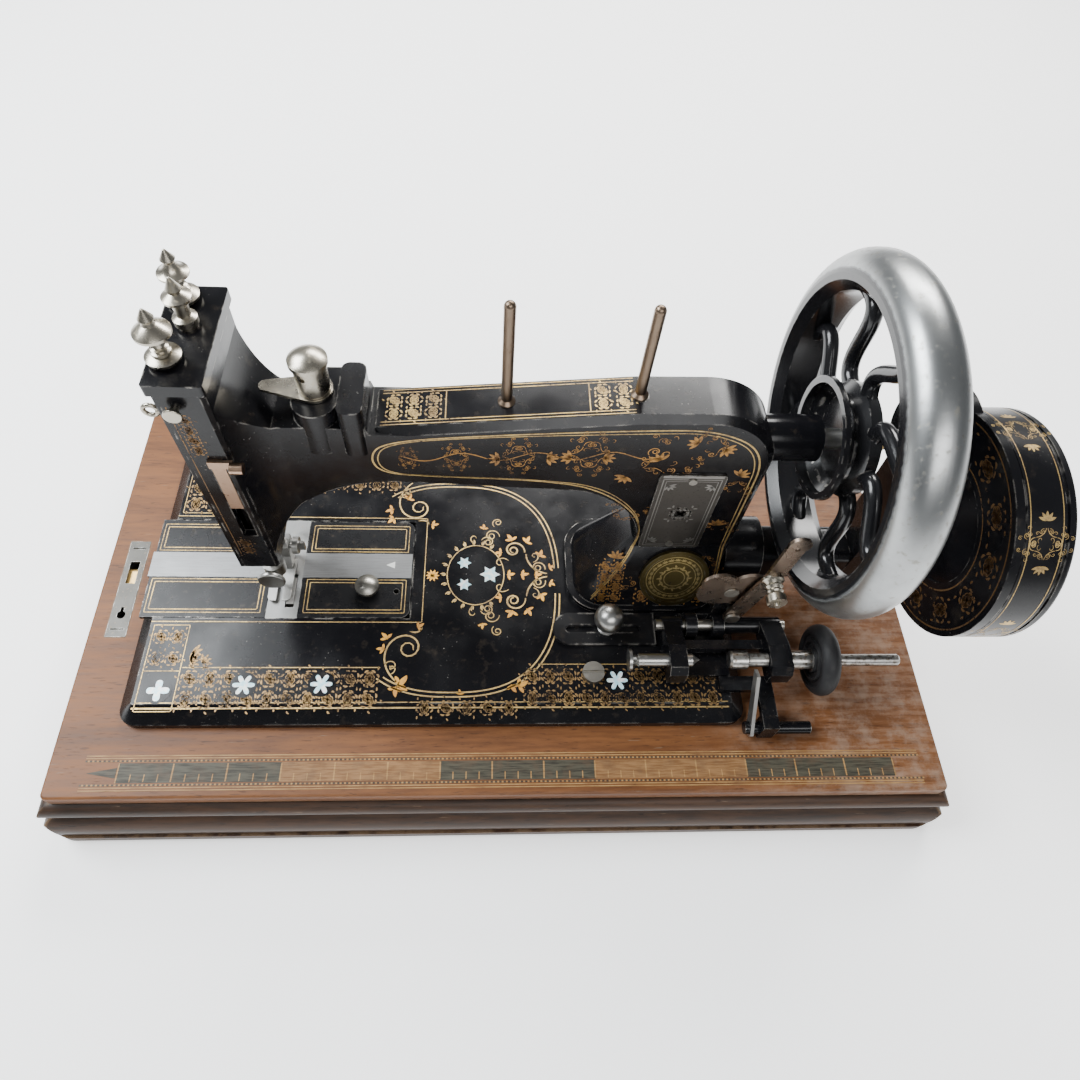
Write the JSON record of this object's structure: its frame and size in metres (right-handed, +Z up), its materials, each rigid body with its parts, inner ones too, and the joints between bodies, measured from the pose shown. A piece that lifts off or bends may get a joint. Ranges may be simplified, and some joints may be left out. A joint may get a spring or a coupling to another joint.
{
  "type": "hand-crank sewing machine",
  "caption": "Antique hand-crank transverse-shuttle sewing machine that tilts back on a hinged, moulded wooden base with a cover-lock plate.",
  "frame": {"origin": "middle of the base's underside", "axes": "+X along the arm to the handwheel, +Y to the back, +Z up"},
  "size_m": [0.4725, 0.262, 0.25],
  "materials": {
    "wood_moulding": "worn varnish",
    "wood_board": "worn varnish",
    "wood_floor": "plain",
    "lock_steel": "aged",
    "lock_iron": "dark",
    "lock_brass": "worn",
    "hinge_iron": "dark",
    "japanned_bed": "black japan with gilt lines",
    "slide_left": "black with a steel strip",
    "slide_right": "black with a steel strip",
    "plate_steel": "brushed",
    "screw_steel": "satin",
    "works_steel": "oiled",
    "works_iron": "oiled",
    "bright_steel": "polished",
    "japanned_arm": "black japan with gilt scrolls",
    "japanned_face": "black japan",
    "nickel": "aged nickel",
    "pewter": "dull",
    "medal_brass": "aged",
    "pin_nickel": "aged nickel",
    "wheel_iron": "polished rim, black spokes",
    "nut_brass": "worn",
    "japanned_bracket": "black japan",
    "japanned_drum": "black japan with gilt cartouches",
    "japanned_crank": "black japan",
    "grip_wood": "polished",
    "japanned_winder": "black japan",
    "winder_rubber": "old rubber on a steel spindle",
    "cam_steel": "polished"
  },
  "bodies": {
    "base": {"base_moulding": "wood_moulding", "base_top_board": "wood_board", "base_bottom_board": "wood_floor", "lock_plate": "lock_steel", "lock_case": "lock_iron", "base_hinges": "hinge_iron"},
    "lock_bolt": {"lock_bolt": "lock_brass"},
    "machine": {"bed": "japanned_bed", "right_slide_plate": "slide_right", "needle_plate": "plate_steel", "fixing_screws": "screw_steel", "shuttle_race": "works_iron", "pivot_studs": "screw_steel", "arm": "japanned_arm", "face_plate": "japanned_face", "thread_eyelets": "nickel", "name_plate": "pewter", "medallion": "medal_brass", "spool_pins": "pin_nickel", "spindle_posts": "nickel", "presser_spring": "works_steel", "tension_barrel": "nickel", "crank_bracket": "japanned_bracket", "stitch_plate": "plate_steel", "winder_brackets": "japanned_winder"},
    "handwheel": {"main_shaft": "works_steel", "handwheel": "wheel_iron", "handwheel_nut": "nut_brass", "pinion": "works_steel"},
    "crank": {"crank_drum": "japanned_drum", "crank_arm": "japanned_crank"},
    "handle": {"handle_spindle": "works_steel"},
    "grip": {"handle_grip": "grip_wood"},
    "needle_bar": {"needle_bar": "bright_steel", "needle_clamp": "bright_steel", "needle": "bright_steel"},
    "presser_bar": {"presser_bar": "bright_steel", "presser_foot": "bright_steel"},
    "presser_lifter": {"presser_lifter": "works_steel"},
    "take_up": {"take_up": "bright_steel"},
    "front_tension_nut": {"front_tension_nut": "nickel"},
    "rear_tension_nut": {"rear_tension_nut": "nickel"},
    "pressure_screw": {"pressure_screw": "nickel"},
    "tension_lever": {"tension_lever": "nickel"},
    "tension_cap": {"tension_cap": "nickel"},
    "left_slide_plate": {"left_slide_plate": "slide_left"},
    "stitch_knob": {"stitch_knob": "bright_steel"},
    "shuttle_carrier": {"shuttle_carrier": "works_iron", "shuttle": "bright_steel"},
    "bobbin": {"bobbin": "bright_steel"},
    "shuttle_lever": {"shuttle_lever": "works_iron"},
    "feed_dog": {"feed_dog": "works_steel"},
    "winder_frame": {"winder_frame": "japanned_winder"},
    "winder_centre": {"winder_centre": "bright_steel"},
    "winder_spindle": {"winder_spindle": "winder_rubber"},
    "winder_cam": {"winder_cam": "cam_steel"},
    "guide_lever": {"guide_lever": "cam_steel", "winder_tension": "nickel"},
    "winder_tension_nut": {"winder_tension_nut": "nickel"},
    "winder_latch": {"winder_latch": "works_steel"}
  },
  "joints": [
    {"name": "lock_bolt_slide", "type": "slide", "parent": "base", "child": "lock_bolt", "axis": [0, 1, 0], "range_m": [-0.007, 0]},
    {"name": "machine_tilt", "type": "hinge", "parent": "base", "child": "machine", "pos_m": [0, 0.091, 0.0485], "axis": [-1, 0, 0], "range_deg": [0, 90]},
    {"name": "handwheel_spin", "type": "hinge", "parent": "machine", "child": "handwheel", "pos_m": [0.15, 0, 0.171], "axis": [1, 0, 0], "continuous": true},
    {"name": "crank_spin", "type": "hinge", "parent": "machine", "child": "crank", "pos_m": [0.2, -0.0304, 0.15171], "axis": [1, 0, 0], "continuous": true},
    {"name": "handle_fold", "type": "hinge", "parent": "crank", "child": "handle", "pos_m": [0.2308, 0.03265, 0.12624], "axis": [0, 0.3746, 0.9272], "range_deg": [0, 90]},
    {"name": "grip_spin", "type": "hinge", "parent": "handle", "child": "grip", "pos_m": [0.2308, -0.00443, 0.14122], "axis": [0, -0.9272, 0.3746], "continuous": true},
    {"name": "needle_bar_slide", "type": "slide", "parent": "machine", "child": "needle_bar", "axis": [0, 0, 1], "range_m": [-0.01, 0.013]},
    {"name": "presser_bar_slide", "type": "slide", "parent": "machine", "child": "presser_bar", "axis": [0, 0, 1], "range_m": [0, 0.006], "deforming": ["presser_spring"]},
    {"name": "presser_lifter_turn", "type": "hinge", "parent": "machine", "child": "presser_lifter", "pos_m": [-0.121, 0.0278, 0.108], "axis": [1, 0, 0], "range_deg": [0, 60]},
    {"name": "take_up_slide", "type": "slide", "parent": "machine", "child": "take_up", "axis": [0, 0, 1], "range_m": [-0.022, 0]},
    {"name": "front_tension_turn", "type": "hinge", "parent": "machine", "child": "front_tension_nut", "pos_m": [-0.1252, -0.0144, 0.238], "axis": [0, 0, 1], "range_deg": [-180, 180]},
    {"name": "rear_tension_turn", "type": "hinge", "parent": "machine", "child": "rear_tension_nut", "pos_m": [-0.1252, 0.0162, 0.237], "axis": [0, 0, 1], "range_deg": [-180, 180]},
    {"name": "pressure_screw_turn", "type": "hinge", "parent": "machine", "child": "pressure_screw", "pos_m": [-0.121, 0.003, 0.23], "axis": [0, 0, 1], "range_deg": [-180, 180]},
    {"name": "tension_lever_swing", "type": "hinge", "parent": "machine", "child": "tension_lever", "pos_m": [-0.081, 0, 0.195], "axis": [0, 0, 1], "range_deg": [-15, 15]},
    {"name": "tension_cap_turn", "type": "hinge", "parent": "machine", "child": "tension_cap", "pos_m": [-0.081, 0, 0.214], "axis": [0, 0, 1], "range_deg": [-180, 180]},
    {"name": "left_slide_plate_slide", "type": "slide", "parent": "machine", "child": "left_slide_plate", "axis": [1, 0, 0], "range_m": [-0.058, 0]},
    {"name": "stitch_knob_slide", "type": "slide", "parent": "machine", "child": "stitch_knob", "axis": [1, 0, 0], "range_m": [-0.018, 0.015]},
    {"name": "shuttle_carrier_slide", "type": "slide", "parent": "machine", "child": "shuttle_carrier", "axis": [1, 0, 0], "range_m": [-0.025, 0.025]},
    {"name": "bobbin_spin", "type": "hinge", "parent": "shuttle_carrier", "child": "bobbin", "pos_m": [-0.121, -0.001, 0.0477], "axis": [1, 0, 0], "continuous": true},
    {"name": "shuttle_lever_swing", "type": "hinge", "parent": "machine", "child": "shuttle_lever", "pos_m": [-0.121, 0.069, 0.0325], "axis": [0, 0, 1], "range_deg": [-21, 21]},
    {"name": "feed_dog_slide", "type": "slide", "parent": "machine", "child": "feed_dog", "axis": [0, 1, 0], "range_m": [-0.002, 0.002]},
    {"name": "winder_frame_swing", "type": "hinge", "parent": "machine", "child": "winder_frame", "pos_m": [0.11, -0.04, 0.065], "axis": [-1, 0, 0], "range_deg": [0, 50]},
    {"name": "winder_centre_slide", "type": "slide", "parent": "winder_frame", "child": "winder_centre", "axis": [1, 0, 0], "range_m": [-0.006, 0]},
    {"name": "winder_spindle_spin", "type": "hinge", "parent": "winder_frame", "child": "winder_spindle", "pos_m": [0.15, -0.062, 0.071], "axis": [1, 0, 0], "continuous": true},
    {"name": "winder_cam_spin", "type": "hinge", "parent": "machine", "child": "winder_cam", "pos_m": [0.1065, -0.0375, 0.099], "axis": [0, 1, 0], "continuous": true},
    {"name": "guide_lever_swing", "type": "hinge", "parent": "machine", "child": "guide_lever", "pos_m": [0.112, -0.0397, 0.0774], "axis": [0, 1, 0], "range_deg": [-5, 5]},
    {"name": "winder_tension_turn", "type": "hinge", "parent": "guide_lever", "child": "winder_tension_nut", "pos_m": [0.1205, -0.0513, 0.117], "axis": [0, 1, 0], "range_deg": [-180, 180]},
    {"name": "winder_latch_turn", "type": "hinge", "parent": "machine", "child": "winder_latch", "pos_m": [0.121, -0.0903, 0.0505], "axis": [1, 0, 0], "range_deg": [0, 60]}
  ],
  "couplings": [
    {"joint": "crank_spin", "follows": "handwheel_spin", "ratio": 0.21739},
    {"joint": "shuttle_lever_swing", "follows": "shuttle_carrier_slide", "rad_per_m": 14.286}
  ]
}
